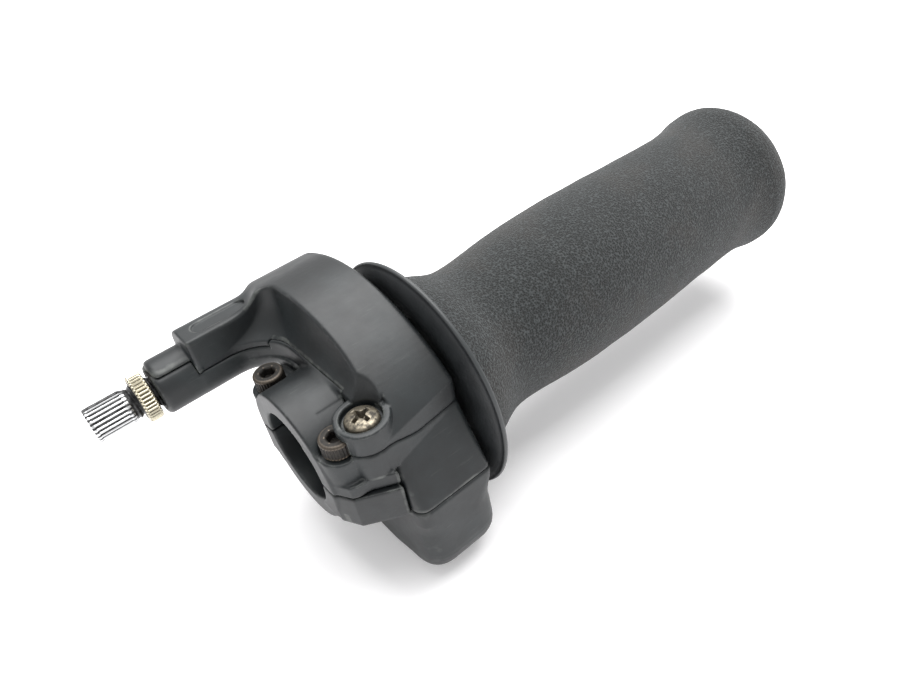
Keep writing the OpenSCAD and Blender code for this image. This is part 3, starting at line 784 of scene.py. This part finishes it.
def lattice_noise(p, seed):
    """Smooth random values at points given in lattice steps."""
    table = np.random.default_rng(seed).random((64, 64, 64))
    i = np.floor(p).astype(int)
    t = p - i
    t = t * t * (3 - 2 * t)
    value = 0
    for a in (0, 1):
        for b in (0, 1):
            for c in (0, 1):
                share = (np.where(a, t[:, 0], 1 - t[:, 0]) * np.where(b, t[:, 1], 1 - t[:, 1])
                         * np.where(c, t[:, 2], 1 - t[:, 2]))
                value = value + share * table[(i[:, 0] + a) % 64, (i[:, 1] + b) % 64, (i[:, 2] + c) % 64]
    return value


# the foam grip's radius at places along the bar: collar, slim neck, belly, waist and flare
GRIP_RADII = [(GRIP_X0, 24.5), (41, 23.0), (49, 19.8), (56, 19.4), (72, 20.8), (92, 21.3), (134, 20.2),
              (142, 20.7), (150, 22.5)]


def flowing(points, x):
    """Smooth curve through a few points, each passed in the direction of its neighbours."""
    px, py = np.array(points, float).T
    ends = np.r_[0, np.arange(len(px) - 2), len(px) - 2], np.r_[1, np.arange(2, len(px)), len(px) - 1]
    lean = (py[ends[1]] - py[ends[0]]) / (px[ends[1]] - px[ends[0]])
    i = np.clip(np.searchsorted(px, x, side="right") - 1, 0, len(px) - 2)
    span = px[i + 1] - px[i]
    t = (x - px[i]) / span
    start = py[i] + t * t * (3 - 2 * t) * (py[i + 1] - py[i])
    return start + t * (1 - t) * span * ((1 - t) * lean[i] - t * lean[i + 1])


def grip_section():
    """Outside of the foam grip, (x, radius): a barrel with a slim neck and a flared, rounded end."""
    x = np.arange(GRIP_X0, 148, 0.5)
    r = flowing(GRIP_RADII, x)
    end = arc((GRIP_X1 - 6.5, r[-1] - 6.4), 6.5, 88, 4, 20)
    cap = np.c_[np.full(30, GRIP_X1), np.linspace(end[-1][1] - 0.5, 0.25, 30)]
    return np.vstack([np.c_[x, r], end, cap])


def foam_grip():
    outside = grip_section()
    start = [(GRIP_X0, r) for r in np.linspace(TUBE_R + 0.05, outside[0][1] - 0.6, 8)]
    inside = [(GRIP_X1 - 4.9, 0.25)] + [(GRIP_X1 - 4.9, r) for r in (5, 9, TUBE_R + 0.05)]
    inside += [(x, TUBE_R + 0.05) for x in np.linspace(GRIP_X1 - 7, GRIP_X0 + 2, 30)]
    profile = np.vstack([start, outside, inside])
    points, faces = turned(profile, 300)
    # ground cells stand proud or are torn out by a few hundredths
    outer = np.hypot(points[:, 1], points[:, 2]) > TUBE_R + 1
    outer |= points[:, 0] > GRIP_X1 - 1
    normal = points.copy()
    normal[:, 0] = np.where(points[:, 0] > GRIP_X1 - 6, (points[:, 0] - GRIP_X1 + 6.5) * 2, 0)
    normal /= np.maximum(np.linalg.norm(normal, axis=1), 1e-6)[:, None]
    rough = (lattice_noise(points / 0.8, 3) - 0.5) * 0.06 + (lattice_noise(points / 7, 4) - 0.5) * 0.25
    points += normal * (rough * outer)[:, None]
    return points, faces


points, faces = foam_grip()
grip = piece("foam_grip_sleeve", points, faces, FOAM, "twist_grip", "grip_foam", ["foam_grip"])

for name, material in {
        "twist_tube": TUBE_PLASTIC, "cable_drum": NATURAL_NYLON, "guide_roller": NATURAL_NYLON,
        "inner_thrust_washer": NATURAL_NYLON, "outer_thrust_washer": NATURAL_NYLON,
        "dust_seal": FELT, "clamp_nuts": ZINC_STEEL, "locating_pins": ZINC_STEEL,
        "roller_pin": ZINC_STEEL, "drum_circlip": BLACKENED_STEEL, "cover_screw_insert": BRASS,
        "nose_insert": BLACKENED_STEEL}.items():
    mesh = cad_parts[name].data
    mesh.materials.clear()
    mesh.materials.append(material)

# ---------------------------------------------------------------- floor, light and camera


def paper_floor():
    """White card sheet, large enough to run out of every view, just under the case."""
    size, z = 6000 * MM, -33.8 * MM
    mesh = bpy.data.meshes.new("card_floor")
    mesh.from_pydata([(-size, -size, z), (size, -size, z), (size, size, z), (-size, size, z)], [],
                     [(0, 1, 2, 3)])
    material, tree, shader, mm = new_material("white_card")
    fibre = add(tree, "TexNoise", {"Vector": mm, "Scale": 1 / 40, "Detail": 2.0})
    tone = ramp(add(tree, "ValToRGB", {0: fibre.outputs[0]}), (0.3, "#f1f0f1"), (0.7, "#f6f5f6"))
    tree.links.new(tone, shader.inputs["Base Color"])
    shader.inputs["Roughness"].default_value = 0.9
    # lit from below as well, like a light table, so that shadows stay faint
    shader.inputs["Emission Color"].default_value = paint("#ffffff")
    shader.inputs["Emission Strength"].default_value = 0.2
    mesh.materials.append(material)
    floor = bpy.data.objects.new("card_floor", mesh)
    bpy.context.scene.collection.objects.link(floor)


def softbox(name, place, target, size, power):
    """Square studio light, facing its target."""
    light = bpy.data.lights.new(name, "AREA")
    light.shape, light.size, light.energy = "SQUARE", size, power
    made = bpy.data.objects.new(name, light)
    made.location = place
    back = np.array(place) - np.array(target)
    z = back / np.linalg.norm(back)
    x = np.cross((0, 1, 0.01), z)
    x /= np.linalg.norm(x)
    y = np.cross(z, x)
    rows = [[*row, p] for row, p in zip(np.c_[x, y, z].tolist(), place)]
    made.matrix_world = Matrix(rows + [[0, 0, 0, 1]])
    bpy.context.scene.collection.objects.link(made)


def light_and_camera():
    scene = bpy.context.scene
    world = bpy.data.worlds.new("white_room")
    scene.world = world
    world.use_nodes = True
    sky = world.node_tree.nodes["Background"]
    sky.inputs["Color"].default_value = paint("#ffffff")
    sky.inputs["Strength"].default_value = 0.8
    softbox("overhead_softbox", (0.38, 0.22, 1.0), (0.05, 0, 0), 1.35, 27.0)
    data = bpy.data.cameras.new("camera")
    data.lens, data.sensor_width, data.clip_start = 29.12, 36.0, 0.01
    camera = bpy.data.objects.new("camera", data)
    # above the clamp on the rider's side, looking down, ahead and along the bar
    right, up, back = (0.7611, -0.6302, -0.1534), (0.4944, 0.4105, 0.7662), (-0.4199, -0.6590, 0.6240)
    place = (-28.355 * MM, -115.239 * MM, 114.137 * MM)
    rows = [[right[i], up[i], back[i], place[i]] for i in range(3)]
    camera.matrix_world = Matrix(rows + [[0, 0, 0, 1]])
    scene.collection.objects.link(camera)
    scene.camera = camera
    scene.view_settings.view_transform = "Standard"


paper_floor()
light_and_camera()
